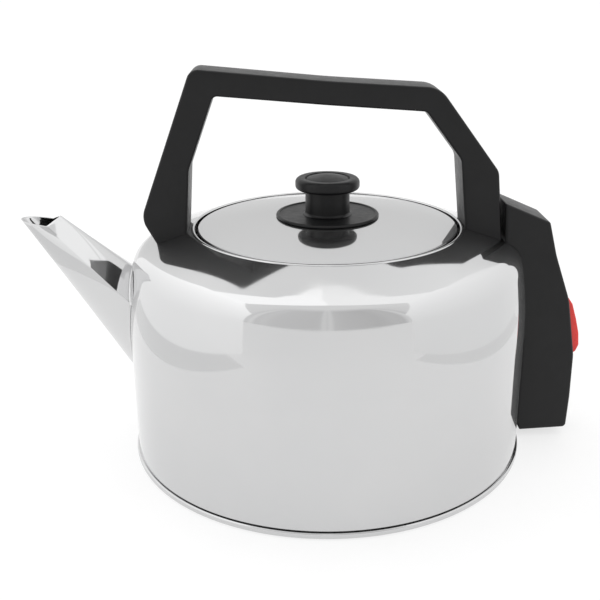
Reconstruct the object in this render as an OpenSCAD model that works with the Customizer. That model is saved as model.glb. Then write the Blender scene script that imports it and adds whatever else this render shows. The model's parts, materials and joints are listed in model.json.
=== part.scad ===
// Corded electric kettle: polished steel drum, fixed loop handle, lift-off lid and a rear control housing.
// Origin: centre of the rest face under the base. +Z up, -X towards the spout, +X towards the housing.

/* [Body] */
// Outer radius of the drum
body_r = 108; // [107:0.5:108.5]
// Thickness of the body sheet
sheet = 0.8; // [0.6:0.1:1]
// Height at which the side starts to curve inwards
curve_start_z = 70; // [66:1:74]
// Radius of the slow curve of the upper side
upper_side_r = 190; // [170:5:220]
// Height at which the shoulder radius starts
shoulder_z = 106.6; // [106:0.1:107.4]
// Radius of the shoulder
shoulder_r = 13.2; // [11:0.2:15]
// Slope of the conical top, in degrees
top_slope = 18.8; // [18:0.2:19.6]

/* [Base] */
// Outer radius of the rolled rim that the kettle stands on
rim_r = 109.2; // [108.8:0.1:109.6]
// Height of the rolled rim
rim_h = 3.5; // [3:0.1:3.6]
// Height of the water side of the bottom plate
floor_z = 6; // [5.5:0.1:8]

/* [Neck and lid] */
// Outer radius of the bead around the neck
neck_r = 72.6; // [72:0.1:73]
// Height of the bead's top
neck_top_z = 125; // [124.8:0.1:125.2]
// Inner radius of the neck
throat_r = 67.35; // [67:0.05:68]
// Outer radius of the lid
lid_r = 69.35; // [69:0.05:69.6]
// Height that the lid's dome would reach without the flat in its middle
lid_crown_z = 130.3; // [130:0.1:130.6]
// How far that crown lies above the dome's edge
lid_rise = 5.8; // [5.4:0.2:6.2]
// Radius of the flat in the middle of the lid
lid_flat_r = 26.5; // [26:0.1:27]
// Depth of the skirt that drops into the neck
skirt_h = 13; // [10:1:14]

/* [Knob] */
// Radius of the wide guard under the knob
guard_r = 27.5; // [24:0.5:30]
// Radius of the stem
stem_r = 11.8; // [9:0.2:13]
// Radius of the cap
cap_r = 17.1; // [15:0.1:19]
// Height of the cap's underside
cap_z = 144; // [142:0.5:146]
// Radius of the domed inset in the cap
inset_r = 11.3; // [9:0.1:12]

/* [Handle] */
// Width of the handle, front to back
handle_w = 24.1; // [22:0.1:26]
// Distance of each handle screw from the kettle's axis
handle_screw_x = 80.5; // [80:0.5:81]
// Radius of the handle screws
handle_screw_r = 2.5; // [2:0.1:3]

/* [Spout] */
// How far the lip reaches from the kettle's axis
lip_x = 162; // [156:1:166]
// Height of the lip
lip_z = 129.9; // [126:0.5:132]
// Half width of the mouth
mouth_half_w = 8.4; // [7:0.2:10]
// Half width of the spout where it meets the drum
root_half_w = 26.5; // [25.5:0.5:27.5]
// Width of the flange around the root
flange_w = 1.7; // [1:0.1:2.5]
// Radius of the strainer holes behind the spout
strainer_hole_r = 2.6; // [2:0.1:3]

/* [Control housing] */
// Width of the housing at its back
housing_back_w = 26; // [25.6:0.2:27]
// Width of the housing at the drum
housing_front_w = 29; // [27:0.5:31]
// Wall thickness of the housing
housing_wall = 2; // [1.6:0.1:2.2]
// Width of the rocker
rocker_w = 18; // [16:0.5:18.4]
// Distance of the rocker's pivot from the kettle's axis
rocker_x = 129; // [128.5:0.5:129.5]
// Height of the rocker's pivot
rocker_z = 66; // [65:0.5:67]
// Height of the middle of the power inlet
inlet_z = 27; // [26:0.5:28]

/* [Heating element] */
// Radius of the ring of the element
ring_r = 58; // [50:1:65]
// Radius of the element's tube
tube_r = 3.5; // [3:0.1:4]
// Height of the element's tube
element_z = 25; // [24:0.5:26]

/* [Hidden] */
$fn = 96;
eps = 0.05;

// ---- Outline helpers: points are [x, y], and a corner is [x, y, radius] ----
function flat(list) = [for (part = list) for (p = part) p];
function polar(r, a) = [r * cos(a), r * sin(a)];
function arc(c, r, a0, a1, n) = [for (i = [0:n]) c + polar(r, a0 + (a1 - a0) * i / n)];
function xy(p) = [p[0], p[1]];
function turn(a) = a > 180 ? a - 360 : a < -180 ? a + 360 : a;
function bend(a, b, c, r) =
    let (
        u = (a - b) / norm(a - b),
        v = (c - b) / norm(c - b),
        half = acos(u * v) / 2,
        centre = b + (u + v) / norm(u + v) * r / sin(half),
        from = b + u * r / tan(half) - centre,
        to = b + v * r / tan(half) - centre,
        start = atan2(from[1], from[0])
    )
    arc(centre, r, start, start + turn(atan2(to[1], to[0]) - start), 6);
function rounded(p) = flat([
    for (i = [0:len(p) - 1])
        let (before = p[(i + len(p) - 1) % len(p)], after = p[(i + 1) % len(p)])
        p[i][2] > 0 ? bend(xy(before), xy(p[i]), xy(after), p[i][2]) : [xy(p[i])]
]);
function side_normal(a, b) = [b[1] - a[1], a[0] - b[0]] / norm(b - a);
// Moves every side of an anticlockwise outline inwards by d, and sharpens its corners by as much
function inset(p, d) = [
    for (i = [0:len(p) - 1])
        let (
            here = xy(p[i]),
            n1 = side_normal(xy(p[(i + len(p) - 1) % len(p)]), here),
            n2 = side_normal(here, xy(p[(i + 1) % len(p)])),
            moved = here - d * (n1 + n2) / (1 + n1 * n2)
        )
        [moved[0], moved[1], max(p[i][2] - d, 0)]
];
// Stands an x-z outline up and gives it the width w along y
module upright(w) rotate([90, 0, 0]) linear_extrude(w, center = true) children();
// A cylinder along +Y, centred on the x-z plane
module cross_rod(x, z, r, w) translate([x, 0, z]) rotate([90, 0, 0]) cylinder(h = w, r = r, center = true);
// A cylinder along +X from x0 to x1
module rod_x(x0, x1, y, z, r) translate([x0, y, z]) rotate([0, 90, 0]) cylinder(h = x1 - x0, r = r);
module box(low, high) translate(low) cube(high - low);
// A closed solid through rings of points, the last of them joined back to the first
module ring_solid(rings) {
    n = len(rings[0]);
    m = len(rings);
    polyhedron(
        points = flat(rings),
        faces = flat([
            for (i = [0:m - 1]) for (j = [0:n - 1])
                let (
                    a = i * n + j,
                    b = i * n + (j + 1) % n,
                    c = (i + 1) % m * n + j,
                    d = (i + 1) % m * n + (j + 1) % n
                )
                [[a, b, c], [c, b, d]]
        ])
    );
}
// A round bar of radius r along the path p, whose bends lie roughly square to the direction up
module bar(p, r, up, sides) {
    n = len(p);
    rings = [
        for (i = [0:n - 1])
            let (
                along = p[min(i + 1, n - 1)] - p[max(i - 1, 0)],
                across = cross(along, up) / norm(cross(along, up)),
                rise = cross(along, across) / norm(along)
            )
            [for (q = arc([0, 0], r, 0, 360 - 360 / sides, sides - 1)) p[i] + q[0] * across + q[1] * rise]
    ];
    polyhedron(
        points = concat(flat(rings), [p[0], p[n - 1]]),
        faces = concat(
            [for (k = [0:sides - 1]) [n * sides, k, (k + 1) % sides]],
            flat([
                for (i = [0:n - 2]) for (k = [0:sides - 1])
                    let (a = i * sides + k, b = i * sides + (k + 1) % sides)
                    [[a, a + sides, b], [a + sides, b + sides, b]]
            ]),
            let (last = (n - 1) * sides)
                [for (k = [0:sides - 1]) [n * sides + 1, last + (k + 1) % sides, last + k]]
        )
    );
}

// ---- Body outline, as [radius, z], with every surface moved outwards by grow ----
side_end_a = asin((shoulder_z - curve_start_z) / upper_side_r);
shoulder_top_r = body_r - upper_side_r * (1 - cos(side_end_a));
shoulder_c = [shoulder_top_r - shoulder_r * cos(side_end_a), shoulder_z - shoulder_r * sin(side_end_a)];
cone_top = shoulder_c + shoulder_r * [sin(top_slope), cos(top_slope)];
function cone_z(r) = cone_top[1] + (cone_top[0] - r) * tan(top_slope);
function body_outline(grow) = flat([
    [[body_r + grow, curve_start_z]],
    arc([body_r - upper_side_r, curve_start_z], upper_side_r + grow, 1, side_end_a - 0.5, 6),
    arc(shoulder_c, shoulder_r + grow, side_end_a, 90 - top_slope, 10),
    [[neck_r + 0.1, cone_z(neck_r + 0.1) + grow / cos(top_slope)]]
]);
// The solid drum inside that outline, from z = bottom up
module drum(grow, bottom) {
    rotate_extrude($fn = 128) polygon(flat([
        [[0, bottom], [body_r + grow, bottom]],
        body_outline(grow),
        [[0, cone_z(neck_r + 0.1) + grow / cos(top_slope)]]
    ]));
}

// ---- Body ----
shell_z = rim_h + 0.4;
strainer_rows = [[58, 0], [67, 1], [76, 1], [85, 2], [94, 1]];
strainer_pitch = 5.2;
module body_shell() {
    color("gainsboro") difference() {
        rotate_extrude($fn = 128) polygon(flat([
            [[body_r - sheet, shell_z], [body_r, shell_z]],
            body_outline(0),
            [for (i = [len(body_outline(0)) - 1:-1:0]) body_outline(-sheet)[i]]
        ]));
        for (row = strainer_rows)
            for (i = [-row[1]:row[1]])
                rotate([0, 0, i * strainer_pitch])
                    rod_x(-body_r - 2, -body_r + 8, 0, row[0], strainer_hole_r, $fn = 24);
        rod_x(body_r - 8, body_r + 2, 0, element_z, head_stub_r + 0.2);
        rod_x(body_r - 8, body_r + 2, 0, steam_z, grommet_r);
        for (side = [-1, 1])
            at_handle_screw(side) cylinder(h = 6, r = handle_screw_r + 0.2, center = true);
    }
}
plate_edge_r = body_r - sheet - eps;
module bottom_plate() {
    color("silver") rotate_extrude($fn = 128) polygon([
        [0, floor_z - 1], [30, floor_z - 1], [32, floor_z - 1.6], [78, floor_z - 1.6], [80, floor_z - 1],
        [plate_edge_r - 0.9, floor_z - 1], [plate_edge_r - 0.9, rim_h + eps], [plate_edge_r, rim_h + eps],
        [plate_edge_r, floor_z + 4], [plate_edge_r - 0.9, floor_z + 4], [plate_edge_r - 0.9, floor_z],
        [80, floor_z], [78, floor_z - 0.6], [32, floor_z - 0.6], [30, floor_z], [0, floor_z]
    ]);
}
module base_rim() {
    color("silver") rotate_extrude($fn = 128) polygon(rounded([
        [rim_r - 3, 0, 0.8], [rim_r, 0, 0.9], [rim_r, rim_h, 1.6], [rim_r - 3, rim_h, 0.4]
    ]));
}
seat_z = 121.2;
bead_r = 0.7;
module neck_ring() {
    color("gainsboro") rotate_extrude($fn = 128) {
        translate([neck_r - bead_r, neck_top_z - bead_r]) circle(r = bead_r, $fn = 24);
        translate([neck_r - 1.7, seat_z - 0.7]) square([0.7, neck_top_z - bead_r - seat_z + 0.7]);
        translate([throat_r, seat_z - 0.7]) square([neck_r - 1.1 - throat_r, 0.7]);
        translate([throat_r, seat_z - 8]) square([0.7, 8]);
    }
}

// ---- Spout: a loft between its root on the drum (t = 0) and its mouth (t = 1) ----
keel_root = [-body_r, 0, 41.5];
lip = [-lip_x, 0, lip_z];
ridge_root = [-103.6, root_half_w, 90.3];
ridge_mouth = [-147.4, mouth_half_w, 127.5];
crest_root = [-105.4, 0, 101.5];
crest_mouth = [-141.2, 0, 131.1];
function on_line(a, b, t) = a + (b - a) * t;
// One ring of the spout's surface, moved outwards by grow
function spout_ring(t, grow) =
    let (
        keel = on_line(keel_root, lip, t),
        ridge = on_line(ridge_root, ridge_mouth, t),
        crest = on_line(crest_root, crest_mouth, t),
        middle = [ridge[0], 0, ridge[2]],
        half_w = ridge[1] + grow,
        down = (keel - middle) * (1 + grow / norm(keel - middle)),
        up = (crest - middle) * (1 + grow / norm(crest - middle)),
        power = 2 / (1.25 + 0.85 * pow(t, 3))
    )
    concat(
        [for (a = [-90:10:90])
            middle + [0, half_w * sign(a) * pow(abs(sin(a)), power), 0] + down * pow(cos(a), power)],
        [for (s = [0.8:-0.2:-0.8]) middle + [0, half_w * s, 0] + up * (1 - pow(abs(s), 1.3))]
    );
// The drum's radius at height z, up to the end of the shoulder's radius
function drum_radius(z) =
    z < curve_start_z ? body_r
    : z < shoulder_z ? body_r - upper_side_r + sqrt(pow(upper_side_r, 2) - pow(z - curve_start_z, 2))
    : shoulder_c[0] + sqrt(pow(shoulder_r, 2) - pow(z - shoulder_c[1], 2));
// Moves a ring along X on to the drum's surface, plus gap
function on_drum(ring, gap) = [
    for (p = ring) [-sqrt(pow(drum_radius(p[2]) + gap, 2) - p[1] * p[1]), p[1], p[2]]
];
root_gap = 0.06;
spout_sheet = 1;
spout_steps = 10;
module spout() {
    color("gainsboro") ring_solid(concat(
        [on_drum(spout_ring(0, 0), root_gap)],
        [for (i = [1:spout_steps]) spout_ring(i / spout_steps, 0)],
        [for (i = [spout_steps:-1:1]) spout_ring(i / spout_steps, -spout_sheet)],
        [on_drum(spout_ring(0, -spout_sheet), root_gap)]
    ));
}
module spout_flange() {
    flange_h = 0.8;
    outer = spout_ring(0, flange_w);
    color("gainsboro") ring_solid([
        on_drum(spout_ring(0, 0.15), root_gap),
        on_drum(outer, root_gap),
        on_drum(outer, flange_h - 0.3),
        on_drum(spout_ring(0.015, 0.35), flange_h)
    ]);
}

// ---- Handle ----
handle_outline = [
    [-86, 110, 0], [-97.5, 131.5, 12], [-68.5, 207.5, 6], [-0.8, 201.3, 400], [56.3, 197.7, 14],
    [88.9, 154.6, 8], [93.6, 110, 0], [74.1, 110, 0], [68.8, 160.8, 8], [49.8, 185.7, 4],
    [-0.8, 189.3, 400], [-57.6, 194.1, 3], [-71.6, 156.8, 8], [-75.2, 110, 0]
];
insert_r = 4;
insert_z0 = 2;
insert_z1 = 14;
// Places its children on a handle screw's axis, with z = 0 at the outside of the shell
module at_handle_screw(side)
    translate([side * handle_screw_x, 0, cone_z(handle_screw_x)])
        rotate([0, side * top_slope, 0]) children();
module handle() {
    color("dimgray") difference() {
        upright(handle_w) polygon(rounded(handle_outline));
        drum(0.02, 0);
        for (side = [-1, 1])
            at_handle_screw(side) {
                cylinder(h = insert_z1 + eps, r = insert_r + 0.02);
                cylinder(h = insert_z1 + 4, r = handle_screw_r + 0.2);
            }
    }
}
seal_h = 1.5;
washer_h = 1;
module handle_seals() {
    color("black") for (side = [-1, 1])
        at_handle_screw(side)
            translate([0, 0, -sheet - 3 * eps - seal_h]) ring(6.5, handle_screw_r + 0.1, seal_h);
}
module handle_washers() {
    color("silver") for (side = [-1, 1])
        at_handle_screw(side) translate([0, 0, -sheet - 4 * eps - seal_h - washer_h])
            ring(7, handle_screw_r + 0.1, washer_h);
}
module handle_screws() {
    color("silver") for (side = [-1, 1])
        at_handle_screw(side) translate([0, 0, -sheet - 5 * eps - seal_h - washer_h]) {
            cylinder(h = insert_z1 + seal_h + washer_h, r = handle_screw_r);
            difference() {
                translate([0, 0, -3]) cylinder(h = 3, r = 4.5);
                translate([0, 0, -3.1]) cylinder(h = 1.8, r = 2.4, $fn = 6);
            }
        }
}
module handle_inserts() {
    color("goldenrod") for (side = [-1, 1])
        at_handle_screw(side)
            translate([0, 0, insert_z0]) ring(insert_r, handle_screw_r + 0.02, insert_z1 - insert_z0);
}
module ring(outer, bore, h) difference() {
    cylinder(h = h, r = outer);
    translate([0, 0, -1]) cylinder(h = h + 2, r = bore);
}

// ---- Control housing ----
housing_outline = [
    [94.3, 112, 0], [108, 60, 0], [108, 8.6, 0], [110.4, 3.8, 0.6],
    [137.4, 4.6, 2.5], [138.1, 24, 40], [137.9, 50, 30],
    [132.3, 83, 30], [122.9, 109, 60], [118, 127.4, 2.5], [93, 138.2, 0.6]
];
lower_arc_r = 18.9;
upper_arc_r = 17.1;
arc_gap = 0.5;
lever_x = 119.5;
lever_z = 92;
pin_r = 1.5;
lever_pin_r = 1;
module housing_block(cut) {
    intersection() {
        upright(housing_front_w + 4) polygon(rounded(inset(housing_outline, cut)));
        linear_extrude(200) polygon([
            [90, -housing_front_w / 2 + cut], [140, -housing_back_w / 2 + cut],
            [140, housing_back_w / 2 - cut], [90, housing_front_w / 2 - cut]
        ]);
    }
}
module rocker_window() {
    translate([rocker_x, 0, rocker_z]) intersection() {
        rotate([90, 0, 0]) union() {
            cylinder(h = rocker_w + 0.8, r = upper_arc_r + arc_gap, center = true);
            intersection() {
                cylinder(h = rocker_w + 0.8, r = lower_arc_r + arc_gap, center = true);
                translate([0, -25, -20]) cube([25, 25, 40]);
            }
        }
        box([-2, -20, -25], [25, 20, 25]);
    }
}
inlet_half_w = 8;
inlet_half_h = 11.5;
screw_x = 124;
// Half width of the housing's open front, which the mount plate stands in
open_half_w = housing_back_w / 2 - housing_wall;
module control_housing() {
    color("dimgray") difference() {
        union() {
            difference() {
                housing_block(0);
                difference() {
                    housing_block(housing_wall);
                    box([screw_x - 5, -5, 0], [screw_x + 5, 5, 8]);
                }
                box([80, -open_half_w, 8], [111, open_half_w, 104]);
            }
            pin_bosses(rocker_x, rocker_z, 3.2, rocker_w / 2 + 0.4);
            pin_bosses(lever_x, lever_z, 2.6, 7);
        }
        drum(0.02, 0);
        rocker_window();
        cross_rod(rocker_x, rocker_z, pin_r + 0.02, 2 * pin_end_y);
        cross_rod(lever_x, lever_z, lever_pin_r + 0.02, 2 * pin_end_y);
        inlet_box(130, 145, 0.3);
        translate([screw_x, 0, 0]) cylinder(h = 12, r = screw_shank_r + 0.2);
        translate([screw_x, 0, 0]) cylinder(h = 6, r = 3.6);
    }
}
pin_end_y = 12;
module pin_bosses(x, z, r, inner_y)
    for (side = [-1, 1])
        translate([0, side * (inner_y + 11.8) / 2, 0]) cross_rod(x, z, r, 11.8 - inner_y);
screw_shank_r = 1.7;
tab_z = 8.2;
plate_half_w = 9;
module mount_plate() {
    color("lightgray") difference() {
        union() {
            box([106, -plate_half_w, tab_z], [110, plate_half_w, 88]);
            box([108.5, -plate_half_w, tab_z], [129, plate_half_w, tab_z + 1.4]);
        }
        drum(eps, 0);
        rod_x(100, 120, 0, element_z, head_stub_r + 0.3);
        translate([screw_x, 0, 0]) cylinder(h = 12, r = screw_shank_r + 0.05);
    }
}
module housing_screw() {
    color("silver") translate([screw_x, 0, 0]) {
        translate([0, 0, 5.9]) cylinder(h = 5.1, r = screw_shank_r);
        difference() {
            translate([0, 0, 4.6]) cylinder(h = 1.4 - eps, r = 3.2);
            translate([0, 0, 4]) cylinder(h = 1.2, r = 1.4, $fn = 6);
        }
    }
}

// ---- Power inlet ----
socket_x0 = 117;
socket_x1 = 135.2;
recess_x0 = 119.5;
blade_x1 = 132;
// Each blade: [y, z from the inlet's middle]
blades = [[-3, 7], [-3, -7], [1, 0]];
// The space of the inlet's mouth from x0 to x1, grown by grow
module inlet_box(x0, x1, grow) {
    y = inlet_half_w + grow;
    h = inlet_half_h + grow;
    box([x0, -y, inlet_z - h], [x1, y, inlet_z + h]);
}
module inlet_socket() {
    color("dimgray") difference() {
        box([socket_x0, -10.2, inlet_z - 14], [socket_x1, 10.2, inlet_z + 14]);
        inlet_box(recess_x0, 140, 0);
        for (b = blades)
            blade(b, socket_x0 - 1, recess_x0 + 1, 2.02, 1.02);
    }
}
// A flat blade at b from x0 to x1, of the half width w and the half thickness h
module blade(b, x0, x1, w, h)
    box([x0, b[0] - w, inlet_z + b[1] - h], [x1, b[0] + w, inlet_z + b[1] + h]);
module inlet_pins() {
    color("goldenrod") for (b = blades) {
        blade(b, socket_x0 - 2.4, blade_x1 - 1, 2, 1);
        blade(b, blade_x1 - 1, blade_x1, 1.5, 0.6);
    }
}
module earth_strap() {
    color("peru") {
        box([110.1, 0.2, inlet_z + 12], [114.3, 2.2, inlet_z + 12.6]);
        box([113.7, 0.2, inlet_z + 0.2], [114.3, 2.2, inlet_z + 12.6]);
    }
}

// ---- Switch works inside the housing ----
block_z0 = 46;
block_z1 = 70;
module switch_block() {
    color("saddlebrown") difference() {
        box([110.2, -9, block_z0], [118, 9, block_z1]);
        for (y = [-5, 5])
            box([114, y - 1.6, block_z0 - 1], [119, y + 1.6, block_z0 + 8]);
    }
}
module contact_leaf() {
    color("peru") for (y = [-5, 5]) {
        box([118.05, y - 2, block_z0 + 10], [118.45, y + 2, block_z1 - 1]);
        rod_x(118.4, 119.6, y, block_z1 - 4, 1.5);
    }
}
lead_r = 0.9;
lead_x = 115.8;
lead_end_z = block_z0 + 7;
module live_lead()
    color("sienna") bar([[lead_x, -5, inlet_z + 8.2], [lead_x, -5, lead_end_z]], lead_r, [1, 0, 0], 12);
module neutral_lead()
    color("royalblue") bar([
        [lead_x, -5.4, inlet_z - 5.8], [lead_x, -4, inlet_z - 3.6], [lead_x, 3.6, inlet_z - 2.6],
        [lead_x, 5.2, inlet_z], [lead_x, 5.2, lead_end_z]
    ], lead_r, [1, 0, 0], 12);

steam_z = 100;
grommet_r = 4.2;
module steam_grommet() {
    color("black") difference() {
        rod_x(102.4, 107.4, 0, steam_z, grommet_r - eps);
        rod_x(100, 110, 0, steam_z, 2.2);
    }
}
module steam_block() {
    color("saddlebrown") difference() {
        box([107.5, -8, steam_z - 8], [112.4, 8, steam_z + 8]);
        rod_x(106, 113, 0, steam_z, 2.4);
        rod_x(111, 113, 0, steam_z, 7);
    }
}
module bimetal_disc() color("goldenrod") rod_x(112.5, 113, 0, steam_z, 6.8);
module rocker_pin() color("silver") cross_rod(rocker_x, rocker_z, pin_r, 2 * pin_end_y - 0.2);
module lever_pin() color("silver") cross_rod(lever_x, lever_z, lever_pin_r, 2 * pin_end_y - 0.2);

// Outline of the rocker about its pivot: face, lower end, back, upper end
rocker_face = [[4.4, 16.5], [6.8, 13], [9.6, 4.2], [11.8, -4.3], [12.5, -11.6], [11, -15.4]];
peg = [-12.4, 12];
module rocker_switch() {
    color("red") translate([rocker_x, 0, rocker_z]) difference() {
        union() {
            upright(rocker_w) polygon(flat([
                rocker_face,
                arc([0, 0], lower_arc_r, -57, -75, 4),
                [[-2, -5], [-4.5, 0], [-2, 6]],
                arc([0, 0], upper_arc_r, 85, 77, 2)
            ]));
            for (side = [-1, 1])
                translate([0, side * 5.5, 0]) upright(2)
                    polygon([[-1, -3], [3, 3], peg + [1.2, 1.6], peg + [-1.6, 0.4], peg + [-0.6, -1.2]]);
            cross_rod(peg[0], peg[1], 1.2, 13);
        }
        cross_rod(0, 0, pin_r + 0.06, rocker_w + 2);
    }
}
module trip_lever() {
    color("white") translate([lever_x, 0, lever_z]) difference() {
        union() {
            box([-1.2, -2.6, -16], [1.2, 2.6, 0]);
            box([-1.2, -5, 0], [1.2, 5, 9]);
            cross_rod(0, 0, 2.6, 13);
        }
        cross_rod(0, 0, lever_pin_r + 0.06, 20);
    }
}

// ---- Heating element ----
head_stub_r = 8;
leg_y = 5;
module element_head() {
    color("goldenrod") difference() {
        union() {
            rod_x(101, 104, 0, element_z, 15.5);
            rod_x(103, 113.3, 0, element_z, head_stub_r);
        }
        for (side = [-1, 1])
            rod_x(99, 116, side * leg_y, element_z, 2.2);
    }
}
module element_gasket() {
    color("black") intersection() {
        difference() {
            rod_x(104 + eps, 112, 0, element_z, 15);
            rod_x(100, 114, 0, element_z, head_stub_r + eps);
        }
        cylinder(h = 60, r = body_r - sheet - eps, $fn = 128);
    }
}
module element_nut() {
    color("silver") difference() {
        rod_x(110.1, 113, 0, element_z, 10.4);
        rod_x(100, 114, 0, element_z, head_stub_r + 0.02);
    }
}
ring_drop = 4;
module heating_element() {
    ring_low = element_z - ring_drop;
    ring_path = [for (p = arc([0, 0], ring_r, 12, 348, 36)) [p[0], p[1], ring_low]];
    leg = [
        [101 - eps, leg_y, element_z], [92, leg_y, element_z], [76, leg_y + 0.6, ring_low],
        [65, leg_y + 2, ring_low]
    ];
    other_leg = [for (i = [3:-1:0]) [leg[i][0], -leg[i][1], leg[i][2]]];
    color("silver") {
        bar(concat(leg, ring_path, other_leg), tube_r, [0, 0, 1], 16);
        for (side = [-1, 1])
            rod_x(101.2, 114.7, side * leg_y, element_z, 1.4);
    }
}

// ---- Lid ----
dome_r = (lid_r * lid_r + lid_rise * lid_rise) / (2 * lid_rise);
function dome_z(r) = lid_crown_z - dome_r + sqrt(dome_r * dome_r - pow(max(r, lid_flat_r), 2));
dome_c = [0, lid_crown_z - dome_r];
dome_end_a = asin((lid_r - 1.2) / dome_r);
dome_flat_a = asin(lid_flat_r / dome_r);
lid_flat_z = dome_z(0);
lid_sheet = 0.8;
module lid_cover() {
    edge_z = dome_z(lid_r - 1.2);
    color("gainsboro") difference() {
        rotate_extrude($fn = 128) polygon(flat([
            arc([lid_r - 1.2, edge_z - 1.2], 1.2, 0, 78, 5),
            arc(dome_c, dome_r, 90 - dome_end_a + 0.15, 90 - dome_flat_a, 8),
            [[0, lid_flat_z], [0, lid_flat_z - lid_sheet]],
            arc(dome_c, dome_r - lid_sheet, 90 - dome_flat_a, 90 - dome_end_a, 8),
            [[lid_r - lid_sheet, edge_z - 1.4], [lid_r - lid_sheet, seat_z + eps], [lid_r, seat_z + eps]]
        ]));
        cylinder(h = 200, r = knob_screw_r + 0.1);
    }
}
skirt_r = throat_r - 0.4;
module lid_skirt() {
    top_z = dome_z(skirt_r) - lid_sheet - eps;
    color("lightgray") rotate_extrude($fn = 128) polygon([
        [skirt_r, top_z - 0.3], [skirt_r, top_z - skirt_h], [skirt_r - 0.6, top_z - skirt_h],
        [skirt_r - 0.6, top_z - 0.9], [skirt_r - 6, top_z + 0.1], [skirt_r - 6, top_z + 0.8]
    ]);
}
knob_screw_r = 2;
under_z = lid_flat_z - lid_sheet - eps;
module knob_washer() color("silver") translate([0, 0, under_z - 1]) ring(6, knob_screw_r + 0.05, 0.95);
module knob_screw() {
    color("silver") {
        translate([0, 0, under_z - 1.5]) cylinder(h = 14.5, r = knob_screw_r);
        difference() {
            translate([0, 0, under_z - 3.6]) cylinder(h = 2.55, r = 4);
            translate([0, 0, under_z - 4]) cylinder(h = 1.6, r = 2, $fn = 6);
        }
    }
}
knob_insert_z0 = 132;
knob_insert_z1 = 142;
module knob_insert()
    color("goldenrod") translate([0, 0, knob_insert_z0])
        ring(3.4, knob_screw_r + 0.02, knob_insert_z1 - knob_insert_z0);
guard_top_z = 131;
guard_floor_z = 130.4;
module knob_guard() {
    color("dimgray") rotate_extrude() polygon(flat([
        [[3, lid_flat_z + eps], [lid_flat_r - 0.2, lid_flat_z + eps]],
        arc([guard_r - 1, guard_top_z - 0.9], 1, -10, 90, 5),
        [[guard_r - 1.6, guard_top_z + 0.05], [guard_r - 2.6, guard_top_z - 0.5]],
        [[stem_r, guard_floor_z], [3, guard_floor_z]]
    ]));
}
module knob() {
    color("dimgray") difference() {
        rotate_extrude() polygon(flat([
            [[0, guard_floor_z + eps], [stem_r + 1.4, guard_floor_z + 0.15]],
            arc([stem_r + 1.6, guard_floor_z + 1.8], 1.6, -110, -180, 4),
            arc([stem_r + 1, cap_z - 1], 1, 180, 90, 4),
            arc([cap_r - 2, cap_z + 2], 2, -90, 0, 5),
            arc([cap_r - 2.4, cap_z + 3.6], 2.4, 0, 90, 6),
            [[inset_r + 0.6, cap_z + 6], [inset_r + 0.1, cap_z + 5.2]],
            [[inset_r + 0.1, cap_z + 3], [0, cap_z + 3]]
        ]));
        cylinder(h = knob_insert_z1 + eps, r = 3.42);
        cylinder(h = knob_insert_z1 + 1, r = knob_screw_r + 0.1);
    }
}
module knob_inset() {
    color("dimgray") rotate_extrude() polygon(flat([
        [[0, cap_z + 3 + eps], [inset_r, cap_z + 3 + eps], [inset_r, cap_z + 5.6]],
        [for (s = [0.95, 0.85, 0.7, 0.5, 0.25, 0]) [inset_r * s, cap_z + 7.5 - 1.9 * s * s]]
    ]));
}

body_shell();
bottom_plate();
base_rim();
neck_ring();
spout();
spout_flange();
handle();
handle_screws();
handle_washers();
handle_seals();
handle_inserts();
control_housing();
mount_plate();
housing_screw();
inlet_socket();
inlet_pins();
earth_strap();
switch_block();
contact_leaf();
live_lead();
neutral_lead();
steam_grommet();
steam_block();
bimetal_disc();
rocker_pin();
lever_pin();
element_head();
element_gasket();
element_nut();
heating_element();
lid_cover();
lid_skirt();
knob_washer();
knob_screw();
knob_insert();
knob_guard();
knob();
knob_inset();
rocker_switch();
trip_lever();
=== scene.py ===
"""Looks for the corded electric kettle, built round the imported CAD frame.

Lengths of the object are in millimetres until a mesh is made. The studio and the materials are in metres.
"""

import json
import math

import bmesh
import bpy
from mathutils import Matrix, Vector


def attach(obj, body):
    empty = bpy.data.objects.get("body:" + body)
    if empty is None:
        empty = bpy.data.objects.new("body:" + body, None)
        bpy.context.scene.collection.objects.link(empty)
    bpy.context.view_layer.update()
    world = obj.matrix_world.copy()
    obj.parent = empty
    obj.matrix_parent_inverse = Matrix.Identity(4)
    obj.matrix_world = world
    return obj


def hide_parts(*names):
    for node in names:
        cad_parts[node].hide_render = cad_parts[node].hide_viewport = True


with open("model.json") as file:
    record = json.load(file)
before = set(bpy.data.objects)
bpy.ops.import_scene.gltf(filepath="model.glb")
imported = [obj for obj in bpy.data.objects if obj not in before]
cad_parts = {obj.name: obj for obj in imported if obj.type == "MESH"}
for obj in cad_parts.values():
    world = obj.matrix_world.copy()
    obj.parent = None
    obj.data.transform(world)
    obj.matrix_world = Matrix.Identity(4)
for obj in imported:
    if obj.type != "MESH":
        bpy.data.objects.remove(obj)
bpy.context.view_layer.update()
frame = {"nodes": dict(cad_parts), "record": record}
MM = 0.001

# ---------------------------------------------------------------- shared sizes, in millimetres
BODY_R, SHEET = 108.0, 0.8                  # the drum's radius, and the thickness of the steel sheet
CURVE_Z, SIDE_R = 70.0, 190.0               # where the side starts to lean in, and the curve's radius
SHOULDER_Z, SHOULDER_R = 106.6, 13.2        # where the rounded shoulder starts, and its radius
SLOPE = 18.8                                # the conical top's slope, in degrees
NECK_R, NECK_TOP, THROAT_R = 72.6, 125.0, 67.35
BEAD_R, BEAD_HALF_W, BEAD_HALF_H = 71.75, 0.85, 0.7
LID_R, LID_EDGE_R = 69.35, 0.7              # the lid's radius, and that of its rolled edge
CROWN, RISE, FLAT_R = 130.3, 5.8, 26.5      # the full dome's top, its rise, and the flat under the guard
SCREW_X = 80.5                              # where a handle screw passes the conical top
ELEMENT_Z, STEAM_Z = 25, 100                # heights of the two holes under the housing
ROCKER_X, ROCKER_Z = 129.0, 66.0            # the rocker's axis

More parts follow.
